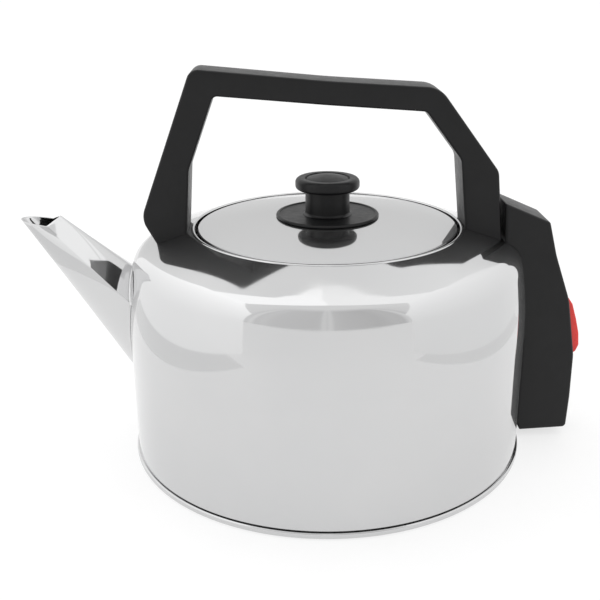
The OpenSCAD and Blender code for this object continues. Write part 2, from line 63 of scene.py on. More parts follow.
SHARP = 32                                  # edges over this many degrees stay crisp


# ---------------------------------------------------------------- outlines
def polar(r, a):
    return (r * math.cos(math.radians(a)), r * math.sin(math.radians(a)))


def arc(cx, cy, r, a0, a1, n):
    out = []
    for i in range(n + 1):
        x, y = polar(r, a0 + (a1 - a0) * i / n)
        out.append((cx + x, cy + y))
    return out


def line(p, q, n):
    return [(p[0] + (q[0] - p[0]) * i / n, p[1] + (q[1] - p[1]) * i / n) for i in range(n + 1)]


def anticlockwise(corners):
    area = 0
    for i, p in enumerate(corners):
        q = corners[(i + 1) % len(corners)]
        area += p[0] * q[1] - q[0] * p[1]
    return list(corners) if area > 0 else list(reversed(corners))


def inset(corners, d):
    """Every side of an anticlockwise outline of [x, y, radius] moved inwards by d."""
    out, n = [], len(corners)
    for i in range(n):
        a, b, c = (Vector(corners[k % n][:2]) for k in (i - 1, i, i + 1))
        u, v = (b - a).normalized(), (c - b).normalized()
        n1, n2 = Vector((u.y, -u.x)), Vector((v.y, -v.x))
        moved = b - d * (n1 + n2) / (1 + n1.dot(n2))
        r = corners[i][2]
        if r > 0:
            r = max(r - d, 0.05) if u.cross(v) > 0 else r + d
        out.append((moved.x, moved.y, r))
    return out


def rounded(corners, steps=8):
    """An outline of [x, y, radius] with its corners turned into arcs of steps + 1 points."""
    out, n = [], len(corners)
    for i in range(n):
        a, b, c = (Vector(corners[k % n][:2]) for k in (i - 1, i, i + 1))
        r = corners[i][2]
        if r <= 0:
            out.append((b.x, b.y))
            continue
        u, v = (a - b).normalized(), (c - b).normalized()
        half = u.angle(v) / 2
        centre = b + (u + v).normalized() * r / math.sin(half)
        reach = r / math.tan(half)
        start, end = b + u * reach - centre, b + v * reach - centre
        a0, a1 = math.atan2(start.y, start.x), math.atan2(end.y, end.x)
        turn = (a1 - a0 + math.pi) % (2 * math.pi) - math.pi
        for k in range(steps + 1):
            a = a0 + turn * k / steps
            out.append((centre.x + r * math.cos(a), centre.y + r * math.sin(a)))
    return out


# ---------------------------------------------------------------- meshes
def make(name, verts, faces, sharp=SHARP):
    """A smooth-shaded piece from points in millimetres, with edges over sharp degrees kept crisp."""
    mesh = bpy.data.meshes.new(name)
    mesh.from_pydata([(x * MM, y * MM, z * MM) for x, y, z in verts], [], faces)
    bm = bmesh.new()
    bm.from_mesh(mesh)
    bmesh.ops.remove_doubles(bm, verts=bm.verts, dist=1e-7)
    bmesh.ops.recalc_face_normals(bm, faces=bm.faces)
    bm.to_mesh(mesh)
    bm.free()
    finish_shading(mesh, sharp)
    obj = bpy.data.objects.new(name, mesh)
    bpy.context.scene.collection.objects.link(obj)
    return obj


def finish_shading(mesh, sharp=SHARP):
    for p in mesh.polygons:
        p.use_smooth = True
    mesh.set_sharp_from_angle(angle=math.radians(sharp))
    mesh.update()


def lathe(name, profile, n=256):
    """A closed outline of (r, z) turned about the Z axis. A point on the axis becomes one vertex."""
    verts, rows = [], []
    for r, z in profile:
        if r < 1e-6:
            rows.append([len(verts)])
            verts.append((0, 0, z))
            continue
        rows.append(list(range(len(verts), len(verts) + n)))
        for k in range(n):
            x, y = polar(r, 360 * k / n)
            verts.append((x, y, z))
    faces = []
    for i, low in enumerate(rows):
        high = rows[(i + 1) % len(rows)]
        if len(low) == len(high) == 1:
            continue
        for k in range(n):
            j = (k + 1) % n
            quad = [low[k % len(low)], low[j % len(low)], high[j % len(high)], high[k % len(high)]]
            faces.append(list(dict.fromkeys(quad)))
    return make(name, verts, faces)


def loft(name, rings, sharp=SHARP, loop=False):
    """Faces between closed rings of equal count. The ends are capped, or with loop they are joined."""
    n, m = len(rings[0]), len(rings)
    verts = [p for ring in rings for p in ring]
    faces = []
    for i in range(m if loop else m - 1):
        for k in range(n):
            j, up = (k + 1) % n, (i + 1) % m
            faces.append([i * n + k, i * n + j, up * n + j, up * n + k])
    if not loop:
        faces.append(list(range(n)))
        faces.append(list(range((m - 1) * n, m * n)))
    return make(name, verts, faces, sharp)


def slab(name, corners, half_width, edge, steps=5, arc_steps=8):
    """An x-z outline given a width along Y, with all its long edges rounded by edge.
    half_width is a number or a function of x."""
    wide = half_width if callable(half_width) else (lambda x: half_width)
    base = anticlockwise(corners)
    side = []
    for k in range(steps + 1):
        a = math.radians(90 * k / steps)
        ring = rounded(inset(base, edge * (1 - math.cos(a))), arc_steps)
        side.append([(x, wide(x) - edge * (1 - math.sin(a)), z) for x, z in ring])
    other = [[(x, -y, z) for x, y, z in ring] for ring in reversed(side)]
    return loft(name, other + side)


def carve(obj, *cutters, operation="DIFFERENCE"):
    """Applies one boolean per cutter to the mesh, and removes the cutters."""
    for cutter in cutters:
        cut = obj.modifiers.new("cut", "BOOLEAN")
        cut.operation, cut.solver, cut.object = operation, "EXACT", cutter
        bpy.context.view_layer.update()
        evaluated = obj.evaluated_get(bpy.context.evaluated_depsgraph_get())
        done = bpy.data.meshes.new_from_object(evaluated)
        obj.modifiers.clear()
        old, obj.data = obj.data, done
        bpy.data.meshes.remove(old)
        bpy.data.objects.remove(cutter)
    bm = bmesh.new()
    bm.from_mesh(obj.data)
    bmesh.ops.remove_doubles(bm, verts=bm.verts, dist=2e-6)
    bmesh.ops.dissolve_degenerate(bm, edges=bm.edges, dist=1e-6)
    bm.to_mesh(obj.data)
    bm.free()
    obj.data.name = obj.name
    finish_shading(obj.data)


def block(low, high):
    """A box used only to cut with."""
    (a, b, c), (x, y, z) = low, high
    corners = [(a, b, c), (x, b, c), (x, y, c), (a, y, c), (a, b, z), (x, b, z), (x, y, z), (a, y, z)]
    sides = [(0, 1, 2, 3), (4, 5, 6, 7), (0, 1, 5, 4), (1, 2, 6, 5), (2, 3, 7, 6), (3, 0, 4, 7)]
    return make("cutter", corners, sides)


def rod(p, q, r, n=48):
    """A round bar from p to q, used to cut with or as part of a piece."""
    p, q = Vector(p), Vector(q)
    w = (q - p).normalized()
    u = w.orthogonal().normalized()
    v = w.cross(u)
    rings = []
    for c in (p, q):
        ring = []
        for k in range(n):
            x, y = polar(r, 360 * k / n)
            ring.append(tuple(c + x * u + y * v))
        rings.append(ring)
    return loft("cutter", rings)


def sweep(name, path, r, n=20):
    """A round bar along a smooth path, with flat ends."""
    pts = [Vector(p) for p in path]
    rings = []
    for i, p in enumerate(pts):
        along = (pts[min(i + 1, len(pts) - 1)] - pts[max(i - 1, 0)]).normalized()
        across = along.cross(Vector((0, 0, 1)))
        if across.length < 1e-3:
            across = along.cross(Vector((0, 1, 0)))
        across.normalize()
        rise = across.cross(along)
        ring = []
        for k in range(n):
            x, y = polar(r, 360 * k / n)
            ring.append(tuple(p + across * x + rise * y))
        rings.append(ring)
    return loft(name, rings, sharp=50)


def together(name, *objs):
    """Several meshes as one piece."""
    bm = bmesh.new()
    for o in objs:
        bm.from_mesh(o.data)
    mesh = bpy.data.meshes.new(name)
    bm.to_mesh(mesh)
    bm.free()
    for o in objs:
        bpy.data.objects.remove(o)
    finish_shading(mesh)
    obj = bpy.data.objects.new(name, mesh)
    bpy.context.scene.collection.objects.link(obj)
    return obj


# ---------------------------------------------------------------- materials
class Nodes:
    """Short names for building a node tree."""

    def __init__(self, name):
        self.mat = bpy.data.materials.new(name)
        self.mat.use_nodes = True
        self.tree = self.mat.node_tree
        self.shader = self.tree.nodes["Principled BSDF"]
        self.place = self.add("ShaderNodeTexCoord").outputs["Object"]

    def add(self, kind, **inputs):
        node = self.tree.nodes.new(kind)
        for k, v in inputs.items():
            self.put(node, k.replace("_", " "), v)
        return node

    def put(self, node, key, value):
        socket = node.inputs[key]
        if hasattr(value, "is_output"):
            self.tree.links.new(value, socket)
        else:
            socket.default_value = value

    def noise(self, scale, detail=3, stretch=None, rough=0.55):
        vector = self.place
        if stretch:
            mapping = self.add("ShaderNodeMapping", Vector=self.place, Scale=stretch)
            vector = mapping.outputs["Vector"]
        node = self.add("ShaderNodeTexNoise", Vector=vector, Scale=scale, Detail=detail, Roughness=rough)
        return node.outputs["Fac"]

    def span(self, value, low, high, a=0.0, b=1.0):
        """Runs from low to high as value goes from a to b, and stays level outside."""
        node = self.add("ShaderNodeMapRange", Value=value, From_Min=a, From_Max=b, To_Min=low, To_Max=high)
        return node.outputs["Result"]

    def grainy(self, scale, detail, low, high):
        """Wanders between low and high in spots of a noise."""
        return self.span(self.noise(scale, detail), low, high, 0.3, 0.7)

    def math(self, operation, a, b):
        node = self.add("ShaderNodeMath")
        node.operation = operation
        self.put(node, 0, a)
        self.put(node, 1, b)
        return node.outputs[0]

    def mix(self, value, low, high):
        ramp = self.add("ShaderNodeValToRGB", Fac=value)
        for stop, position, color in zip(ramp.color_ramp.elements, (0.3, 0.7), (low, high)):
            stop.position, stop.color = position, (*color, 1)
        return ramp.outputs["Color"]

    def bump(self, height, depth, strength=1.0, after=None):
        node = self.add("ShaderNodeBump", Height=height, Distance=depth, Strength=strength)
        if after is not None:
            self.put(node, "Normal", after)
        return node.outputs["Normal"]

    def set(self, **inputs):
        for k, v in inputs.items():
            self.put(self.shader, k.replace("_", " "), v)
        return self.mat


def painted_gap_shade(n):
    """A mask for painted shade: 1 deep in the narrow gap between the lid's edge and the neck's bead, and 0
    elsewhere.
    """
    flat = n.add("ShaderNodeVectorMath", Vector=n.place)
    flat.operation = "MULTIPLY"
    flat.inputs[1].default_value = (1, 1, 0)
    length = n.add("ShaderNodeVectorMath", Vector=flat.outputs["Vector"])
    length.operation = "LENGTH"
    radius = length.outputs["Value"]
    z = n.add("ShaderNodeSeparateXYZ", Vector=n.place).outputs["Z"]
    bead_inner = BEAD_R - BEAD_HALF_W
    within = n.span(radius, 0, 1, (LID_R - 0.35) * MM, (LID_R - 0.15) * MM)
    inside = n.span(radius, 1, 0, (bead_inner + 0.3) * MM, (bead_inner + 0.5) * MM)
    high, low = (NECK_TOP - 0.6) * MM, (NECK_TOP - 1.4) * MM
    shade_z = n.span(radius, high, low, (LID_R - 0.05) * MM, bead_inner * MM)
    deep = n.span(n.math("SUBTRACT", shade_z, z), 0, 1, -0.1 * MM, 0.1 * MM)
    return n.math("MULTIPLY", n.math("MULTIPLY", within, inside), deep)


def polished_steel():
    n = Nodes("polished_steel")
    slow = n.bump(n.noise(9, 1, rough=0.4), 0.00006)
    swirl = n.bump(n.noise(420, 2, (1, 1, 0.06)), 0.0000012, after=slow)
    tint = n.mix(n.noise(14, 2), (0.588, 0.59, 0.595), (0.61, 0.61, 0.612))
    # painted shade: deep in the lid's gap the steel's colour goes nearly black, standing in for the shadow there
    gap_shaded = n.add("ShaderNodeMixRGB", Fac=painted_gap_shade(n), Color1=tint, Color2=(0.05, 0.05, 0.05, 1))
    return n.set(Base_Color=gap_shaded.outputs["Color"], Metallic=1.0, Roughness=n.grainy(60, 4, 0.035, 0.075),
                 Normal=swirl, Coat_Weight=0.58, Coat_Roughness=0.45)


def plain_steel():
    n = Nodes("plain_steel")
    grain = n.bump(n.noise(900, 3, (1, 1, 0.15)), 0.000008)
    tint = n.mix(n.noise(25, 3), (0.50, 0.50, 0.495), (0.60, 0.60, 0.595))
    return n.set(Base_Color=tint, Metallic=1.0, Roughness=n.grainy(300, 4, 0.22, 0.36), Normal=grain)


def moulded(name, low, high, rough, depth=0.00001, scale=1600, level=0.5):
    """A moulded plastic or rubber: a fine grain over slow flow marks."""
    n = Nodes(name)
    grain = n.bump(n.noise(scale, 2), depth)
    flow = n.bump(n.noise(22, 1), 0.00004, after=grain)
    return n.set(Base_Color=n.mix(n.noise(70, 4), low, high), Specular_IOR_Level=level,
                 Roughness=n.grainy(260, 4, rough - 0.05, rough + 0.05), Normal=flow)


def metal(name, low, high, rough):
    """A small machined or plated part."""
    n = Nodes(name)
    lines = n.bump(n.noise(1400, 2), 0.000006)
    return n.set(Base_Color=n.mix(n.noise(160, 4), low, high), Metallic=1.0,
                 Roughness=n.grainy(500, 3, rough - 0.07, rough + 0.07), Normal=lines)


BLACK = (0.0035, 0.0035, 0.0038), (0.0052, 0.0052, 0.0056)
RUBBER = (0.020, 0.020, 0.020), (0.035, 0.035, 0.035)
INLET = (0.010, 0.010, 0.010), (0.018, 0.018, 0.018)
MATERIALS = {
    "polished_steel": polished_steel(),
    "plain_steel": plain_steel(),
    "black_plastic": moulded("black_plastic", *BLACK, 0.40, level=0.29),
    "inlet_plastic": moulded("inlet_plastic", *INLET, 0.36),
    "red_plastic": moulded("red_plastic", (0.66, 0.028, 0.022), (0.73, 0.036, 0.028), 0.30, 0.000004),
    "zinc_steel": metal("zinc_steel", (0.55, 0.56, 0.58), (0.68, 0.68, 0.67), 0.30),
    "brass": metal("brass", (0.70, 0.50, 0.22), (0.78, 0.60, 0.30), 0.28),
    "copper": metal("copper", (0.72, 0.42, 0.27), (0.82, 0.52, 0.34), 0.30),
    "seal_rubber": moulded("seal_rubber", *RUBBER, 0.62, 0.00002, 900),
    "phenolic": moulded("phenolic", (0.07, 0.035, 0.02), (0.12, 0.06, 0.035), 0.45, 0.00002, 900),
    "white_nylon": moulded("white_nylon", (0.70, 0.69, 0.64), (0.80, 0.79, 0.74), 0.42),
    "brown_sleeve": moulded("brown_sleeve", (0.12, 0.05, 0.025), (0.16, 0.07, 0.035), 0.45),
    "blue_sleeve": moulded("blue_sleeve", (0.03, 0.10, 0.35), (0.045, 0.13, 0.42), 0.45),
}


def place(obj, body, slot_name, *nodes):
    """Gives a piece its finish, its body and the CAD nodes that it stands for."""
    obj.data.materials.clear()
    obj.data.materials.append(MATERIALS[slot_name])
    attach(obj, body)
    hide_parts(*nodes)


# ---------------------------------------------------------------- the drum
side_end = math.degrees(math.asin((SHOULDER_Z - CURVE_Z) / SIDE_R))
sx, sz = polar(SHOULDER_R, side_end)
shoulder_c = (BODY_R - SIDE_R + polar(SIDE_R, side_end)[0] - sx, SHOULDER_Z - sz)
cone_top = (shoulder_c[0] + SHOULDER_R * math.sin(math.radians(SLOPE)),
            shoulder_c[1] + SHOULDER_R * math.cos(math.radians(SLOPE)))


def cone_z(r):
    return cone_top[1] + (cone_top[0] - r) * math.tan(math.radians(SLOPE))


def drum_side(grow, bottom, end_r):
    """The drum's outline, moved outwards by grow, from bottom up to the radius end_r on its cone."""
    up = grow / math.cos(math.radians(SLOPE))
    cx, cz = polar(SHOULDER_R + grow, 90 - SLOPE)
    cone = (shoulder_c[0] + cx, shoulder_c[1] + cz)
    return (line((BODY_R + grow, bottom), (BODY_R + grow, CURVE_Z), 16)
            + arc(BODY_R - SIDE_R, CURVE_Z, SIDE_R + grow, 0, side_end, 16)[1:]
            + arc(*shoulder_c, SHOULDER_R + grow, side_end, 90 - SLOPE, 24)[1:]
            + line(cone, (end_r, cone_z(end_r) + up), 8)[1:])


def drum_cutter(grow):
    """A solid drum that cuts a neighbour to its shape, with a gap of grow."""
    return lathe("cutter", [(0, -5)] + drum_side(grow, -5, 60) + [(0, cone_z(60))], 256)


def drum_radius(z):
    if z < CURVE_Z:
        return BODY_R
    if z < SHOULDER_Z:
        return BODY_R - SIDE_R + math.sqrt(SIDE_R ** 2 - (z - CURVE_Z) ** 2)
    return shoulder_c[0] + math.sqrt(max(SHOULDER_R ** 2 - (z - shoulder_c[1]) ** 2, 0))


def drum_hole(z, angle, r, n=48):
    """A bar through the drum's wall at a height and an angle about the axis."""
    x, y = polar(1, angle)
    return rod((98 * x, 98 * y, z), (112 * x, 112 * y, z), r, n)


def screw_bars(below, above, r, n=48):
    """A bar along each handle screw, which stands square on the conical top."""
    bars = []
    for side in (-1, 1):
        foot = Vector((side * SCREW_X, 0, cone_z(SCREW_X)))
        axis = Vector((side * math.sin(math.radians(SLOPE)), 0, math.cos(math.radians(SLOPE))))
        bars.append(rod(foot - below * axis, foot + above * axis, r, n))
    return bars


shell_end_r, shell_foot_z = NECK_R + 0.1, 4.3
shell_outer = drum_side(0, shell_foot_z, shell_end_r)
shell_inner = list(reversed(drum_side(-SHEET, shell_foot_z, shell_end_r)))
shell_foot = [(BODY_R - SHEET + 0.15, 3.9), (BODY_R - 0.2, 3.9), (BODY_R - 0.05, 4.05)]
drum = lathe("drum_shell", shell_foot + shell_outer + shell_inner, 320)
holes = []
for z, side in ((58, 0), (67, 1), (76, 1), (85, 2), (94, 1)):    # the strainer behind the spout, row by row
    holes += [drum_hole(z, 180 + 5.2 * i, 2.6, 32) for i in range(-side, side + 1)]
holes += [drum_hole(ELEMENT_Z, 0, 8.2), drum_hole(STEAM_Z, 0, 4.2)]
carve(drum, together("cutter", *holes, *screw_bars(4, 4, 2.7)))
place(drum, "kettle", "polished_steel", "body_shell")

rim = ([(106.35, 0.5), (106.8, 0.08), (107.4, 0), (108.1, 0.02)]
       + arc(107.6, 1.55, 1.6, -62, 12, 8) + arc(108.35, 2.55, 0.78, 20, 96, 6)
       + [(107.6, 3.42), (107.25, 3.5), (106.5, 3.5), (106.2, 3.2), (106.2, 0.9)])
place(lathe("base_roll", rim, 320), "kettle", "polished_steel", "base_rim")

plate_r = BODY_R - SHEET - 0.05
plate_in = plate_r - 0.9
# a shallow ring is pressed into the pan's underside
groove = [(29, 5), (31.2, 4.5), (33, 4.4), (77, 4.4), (78.8, 4.5), (81, 5)]
plate = ([(0, 5)] + groove
         + [(104.6, 5), (105.6, 4.9), (106.1, 4.5), (plate_in, 4.0), (plate_in, 3.55), (plate_r, 3.55)]
         + [(plate_r, 10), (plate_in, 10), (plate_in, 7.2), (105.9, 6.4), (105.0, 6.0)]
         + [(r, z + 1) for r, z in reversed(groove)] + [(0, 6)])
place(lathe("bottom_pan", plate, 256), "kettle", "plain_steel", "bottom_plate")

bead = []
for a in range(180, -61, -12):
    x, y = polar(1, a)
    bead.append((BEAD_R + BEAD_HALF_W * x, NECK_TOP - BEAD_HALF_H + BEAD_HALF_H * y))
ditch_r, ditch_z = 70.3, 117.6              # the bottom of the ditch between the lid's seat and the bead
neck = ([(THROAT_R, 113.3), (THROAT_R, 120.6)] + arc(THROAT_R + 0.6, 120.6, 0.6, 180, 90, 5)
        + [(69.4, 121.2), (69.6, 121.0), (69.7, ditch_z)] + arc(ditch_r, ditch_z, 0.6, -180, 0, 8)
        + bead + [(BEAD_R, 123.4), (71.5, 122.2), (71.5, ditch_z)] + arc(ditch_r, ditch_z, 1.2, 0, -180, 10)
        + [(69.1, 119.6), (68.8, 120.2), (68.4, 120.4), (68.05, 120.0)]
        + [(68.05, 113.3), (67.9, 113.2), (67.5, 113.2)])
place(lathe("neck_bead", neck, 256), "kettle", "polished_steel", "neck_ring")

# ---------------------------------------------------------------- the spout
# three lines run from the root to the lip: the keel below, the two side ridges, and the crest on top
KEEL = ((-108, 0, 41.5), (-162, 0, 129.9))
RIDGE = ((-103.6, 26.5, 90.3), (-147.4, 8.4, 127.5))
CREST = ((-105.4, 0, 101.5), (-141.2, 0, 131.1))
SPOUT_GAP = 0.06                            # between the spout and the drum


def along(ends, t):
    return Vector(ends[0]).lerp(Vector(ends[1]), t)


def spout_ring(t, grow):
    """The spout's outline at t, from 0 at the root to 1 at the lip, moved outwards by grow."""
    keel, ridge, crest = along(KEEL, t), along(RIDGE, t), along(CREST, t)
    middle = Vector((ridge.x, 0, ridge.z))
    half_w = ridge.y + grow
    down = (keel - middle) * (1 + grow / (keel - middle).length)
    up = (crest - middle) * (1 + grow / (crest - middle).length)
    power = 2 / (1.25 + 0.85 * t ** 3)      # a V at the root, which rounds out towards the lip
    ring = []
    for k in range(-24, 25):
        a = math.radians(90 * math.sin(math.radians(90 * k / 24)))
        y = math.copysign(abs(math.sin(a)) ** power, a) * half_w
        ring.append(tuple(middle + Vector((0, y, 0)) + down * max(math.cos(a), 0) ** power))
    for k in range(1, 24):
        s = 1 - 2 * k / 24
        ring.append(tuple(middle + Vector((0, half_w * s, 0)) + up * (1 - (s * s + 0.001) ** 0.65)))
    return ring


def on_drum(ring, gap):
    """The same outline pressed back onto the drum, gap away from it."""
    return [(-math.sqrt((drum_radius(z) + gap) ** 2 - y * y), y, z) for x, y, z in ring]


STEPS = 40
outside = [on_drum(spout_ring(0, 0), SPOUT_GAP)]
outside += [spout_ring(i / STEPS, 0) for i in range(1, STEPS)]
outside += [spout_ring(0.997, 0), spout_ring(1, -0.12)]
inside = [spout_ring(1, -0.85), spout_ring(0.997, -1)]
inside += [spout_ring(i / STEPS, -1) for i in range(STEPS - 1, 0, -1)]
inside += [on_drum(spout_ring(0, -1), SPOUT_GAP)]
place(loft("spout_sheet", outside + inside, 36, loop=True), "kettle", "polished_steel", "spout")

# the flange's section as (t, grow, gap): out along the drum, and back over its rounded top
FLANGE = ((0, 0.15, SPOUT_GAP), (0, 1.6, SPOUT_GAP), (0, 1.7, 0.2), (0, 1.62, 0.45), (0, 1.35, 0.68),
          (0.004, 1.0, 0.78), (0.015, 0.6, 0.8), (0.015, 0.35, 0.8))
flange = [on_drum(spout_ring(t, grow), gap) for t, grow, gap in FLANGE]
place(loft("spout_seam", flange, 40, loop=True), "kettle", "polished_steel", "spout_flange")

# ---------------------------------------------------------------- the handle
# the loop's outline as [x, z, corner radius]: outside from the front foot to the rear one, then back inside
HANDLE = [(-86, 110, 0), (-97.5, 131.5, 12), (-68.5, 207.5, 6), (-0.8, 201.3, 400), (56.3, 197.7, 14),
          (88.9, 154.6, 8), (93.6, 110, 0),
          (74.1, 110, 0), (68.8, 160.8, 8), (49.8, 185.7, 4), (-0.8, 189.3, 400), (-57.6, 194.1, 3),
          (-71.6, 156.8, 8), (-75.2, 110, 0)]
handle = slab("handle_bar", HANDLE, 12.05, 1.3, steps=6, arc_steps=12)
carve(handle, drum_cutter(0.05), together("cutter", *screw_bars(4, 14.2, 4.05, 32)))
place(handle, "kettle", "black_plastic", "handle")

# ---------------------------------------------------------------- the control housing
HOUSING = [(94.3, 112, 0), (108, 60, 0), (108, 8.6, 0), (110.4, 3.8, 0.6), (137.4, 4.6, 2.5),
           (138.1, 24, 40), (137.9, 50, 30), (132.3, 83, 30), (122.9, 109, 60), (118, 127.4, 2.5),
           (93, 138.2, 0.6)]
WALL = 2


def housing_half(x):
    """The housing's half width, which tapers towards the back."""
    return 14.5 - 1.5 * (x - 90) / 50


def hollow_half(x):
    return housing_half(x) - WALL


housing = slab("housing_shell", HOUSING, housing_half, 1.5, steps=6, arc_steps=10)
hollow = slab("cutter", inset(anticlockwise(HOUSING), WALL), hollow_half, 0.4, steps=2, arc_steps=6)
window = ([(ROCKER_X - 2, ROCKER_Z + 17.6)] + arc(ROCKER_X, ROCKER_Z, 17.6, 88, 60, 6)
          + [(150, ROCKER_Z + 14), (150, ROCKER_Z - 16)] + arc(ROCKER_X, ROCKER_Z, 19.4, -50, -80, 6)
          + [(ROCKER_X - 2, ROCKER_Z - 19.3)])
rocker_window = loft("cutter", [[(x, y, z) for x, z in window] for y in (-9.4, 9.4)])
open_front = block((80, -11, 8), (111, 11, 104))
inlet_window = block((130, -8.3, 15.2), (145, 8.3, 38.8))
screw_hole = rod((124, 0, 0), (124, 0, 12), 1.9, 32)
screw_recess = rod((124, 0, 0), (124, 0, 5.2), 3.6, 32)
carve(housing, hollow, open_front, drum_cutter(0.06), rocker_window, inlet_window, screw_hole, screw_recess)
place(housing, "kettle", "black_plastic", "control_housing")

# ---------------------------------------------------------------- the rocker
# outlines and places relative to the rocker's axis
face = [(4.4, 16.5, 0), (6.8, 13, 1.2), (9.6, 4.2, 12),
        (11.8, -4.3, 12), (12.5, -11.6, 2.5), (11, -15.4, 0)]
lower_arc = [(*p, 0) for p in arc(0, 0, 18.9, -57, -75, 5)]
upper_arc = [(*p, 0) for p in arc(0, 0, 17.1, 85, 77, 3)]
back = [(-2, -5, 0), (-4.5, 0, 0), (-2, 6, 0)]
outline = [(ROCKER_X + x, ROCKER_Z + z, r) for x, z, r in face + lower_arc + back + upper_arc]
cap = slab("rocker_cap", outline, 9.0, 0.9, steps=5, arc_steps=6)
ARM = [(-1, -3), (3, 3), (-11.2, 13.6), (-14, 12.4), (-13, 10.8)]
arms = []
for side in (-1, 1):
    sides = [[(ROCKER_X + x, side * 5.5 + y, ROCKER_Z + z) for x, z in ARM] for y in (-1, 1)]
    arms.append(loft("cutter", sides))
peg_x, peg_z = ROCKER_X - 12.4, ROCKER_Z + 12
peg = rod((peg_x, -6.5, peg_z), (peg_x, 6.5, peg_z), 1.2, 24)
carve(cap, *arms, peg, operation="UNION")
carve(cap, rod((ROCKER_X, -12, ROCKER_Z), (ROCKER_X, 12, ROCKER_Z), 1.56, 32))
place(cap, "rocker", "red_plastic", "rocker_switch")

# ---------------------------------------------------------------- the lid
dome_r = (LID_R ** 2 + RISE ** 2) / (2 * RISE)
lid_bore_r = 2.1


def dome_z(r, drop=0.0):
    """The dome's height at a radius, flat under the guard. drop takes the sheet's underside."""
    return CROWN - dome_r + math.sqrt((dome_r - drop) ** 2 - max(r, FLAT_R) ** 2)


edge_z = dome_z(LID_R - LID_EDGE_R)
DOME_STEPS = 30
dome = [FLAT_R + (LID_R - 0.82 - FLAT_R) * i / DOME_STEPS for i in range(DOME_STEPS + 1)]
lid = ([(lid_bore_r, dome_z(lid_bore_r))] + [(r, dome_z(r)) for r in dome]
       + arc(LID_R - LID_EDGE_R, edge_z - LID_EDGE_R, LID_EDGE_R, 80, 0, 8)
       + [(LID_R, 123.0), (LID_R, 121.6), (LID_R - 0.15, 121.3)]
       + [(LID_R - 0.4, 121.25), (LID_R - 0.65, 121.3), (LID_R - 0.8, 121.6)]
       + arc(LID_R - 1.2, edge_z - 1.3, 0.4, 0, 80, 4)
       + [(r, dome_z(r, SHEET)) for r in reversed(dome[:-2])] + [(lid_bore_r, dome_z(lid_bore_r, SHEET))])
place(lathe("lid_dome", lid, 256), "lid", "polished_steel", "lid_cover")

skirt_r = THROAT_R - 0.4
top = dome_z(skirt_r) - 0.85                # just under the dome's sheet
skirt = ([(skirt_r - 6, top + 0.8), (skirt_r - 6, top + 0.1), (skirt_r - 1.4, top - 0.75)]
         + arc(skirt_r - 1.4, top - 1.65, 0.8, 90, 0, 4)
         + [(skirt_r - 0.6, top - 12.6), (skirt_r - 0.5, top - 12.95), (skirt_r - 0.3, top - 13)]
         + [(skirt_r - 0.1, top - 12.95), (skirt_r, top - 12.6), (skirt_r, top - 0.9)]
         + [(skirt_r - 0.1, top - 0.45), (skirt_r - 0.4, top - 0.25)])
place(lathe("lid_collar", skirt, 256), "lid", "plain_steel", "lid_skirt")

under_guard = dome_z(0) + 0.05
guard = ([(3, under_guard), (FLAT_R - 0.2, under_guard), (26.9, 129.5), (27.3, 129.8)]
         + arc(26.5, 130.05, 1.0, -10, 78, 8) + arc(26.1, 130.5, 0.55, 95, 175, 4)
         + [(25.3, 130.52), (24.6, 130.46), (22, 130.44), (18, 130.42), (12, 130.4), (3, 130.4)])
place(lathe("knob_dish", guard, 192), "lid", "black_plastic", "knob_guard")

knob = ([(3.45, 142.05), (3.45, 130.45), (13.0, 130.5)] + arc(13.35, 132.1, 1.55, -98, -180, 7)
        + [(11.8, 136), (11.8, 140)] + arc(12.8, 143.0, 1.0, 180, 90, 7) + arc(15.0, 146.1, 2.1, -90, 0, 12)
        + arc(14.5, 147.6, 2.6, 0, 84, 14) + [(13.2, 150.18), (12.3, 150.12)]
        + arc(12.2, 149.75, 0.38, 95, 170, 4)
        + [(11.5, 149.2), (11.4, 148.8), (11.4, 147), (2.1, 147), (2.1, 142.05)])
place(lathe("knob_grip", knob, 192), "lid", "black_plastic", "knob")

inset_r, inset_top = 11.3, 151.5
steps_in = (0.95, 0.9, 0.8, 0.7, 0.6, 0.5, 0.4, 0.3, 0.2, 0.1)
swell = [(inset_r * s, inset_top - 1.9 * s * s) for s in steps_in]
crown = ([(0, 147.05), (inset_r, 147.05), (inset_r, 149.2)] + arc(10.95, 149.25, 0.35, 0, 70, 4)
         + swell + [(0, inset_top)])
place(lathe("knob_crown", crown, 192), "lid", "black_plastic", "knob_inset")

# ---------------------------------------------------------------- the heating element, a bent tube
COIL_Z = 21
coil = [Vector((*polar(58, a), COIL_Z)) for a in range(12, 349, 4)]
# from the head the leg runs level, then dips to the coil's height and swings out into it
LEG = ((100.95, 5, ELEMENT_Z), (97, 5, ELEMENT_Z), (92, 5, ELEMENT_Z), (88, 5.1, 24.5), (84, 5.3, 23.4),
       (80, 5.5, 22.1), (76, 5.7, 21.3), (72, 6.1, COIL_Z), (66, 7.4, COIL_Z), (61.5, 9, COIL_Z))
near_leg = [Vector(p) for p in LEG]
far_leg = [Vector((p.x, -p.y, p.z)) for p in reversed(near_leg)]
tube = sweep("element_tube", near_leg + coil + far_leg, 3.5, 24)
ends = [rod((101.0, s * 5, ELEMENT_Z), (114.7, s * 5, ELEMENT_Z), 1.4, 24) for s in (-1, 1)]
place(together("element_tube", tube, *ends), "kettle", "plain_steel", "heating_element")

# ---------------------------------------------------------------- finishes of the CAD nodes that still show
BEVELLED = ("inlet_socket", "inlet_pins", "switch_block", "steam_block", "trip_lever", "mount_plate",
            "earth_strap")
slot_of = {s["node"]: s["material_slot"] for s in frame["record"]["subparts"]}
for name, obj in frame["nodes"].items():
    if obj.hide_render:
        continue
    finish = MATERIALS[slot_of[name]]
    if not obj.material_slots:
        obj.data.materials.append(finish)
    for s in obj.material_slots:
        s.material = finish
    if name in BEVELLED:
        edge = obj.modifiers.new("edge", "BEVEL")
        edge.width, edge.segments = 0.3 * MM, 2
        edge.limit_method, edge.angle_limit = "ANGLE", math.radians(50)


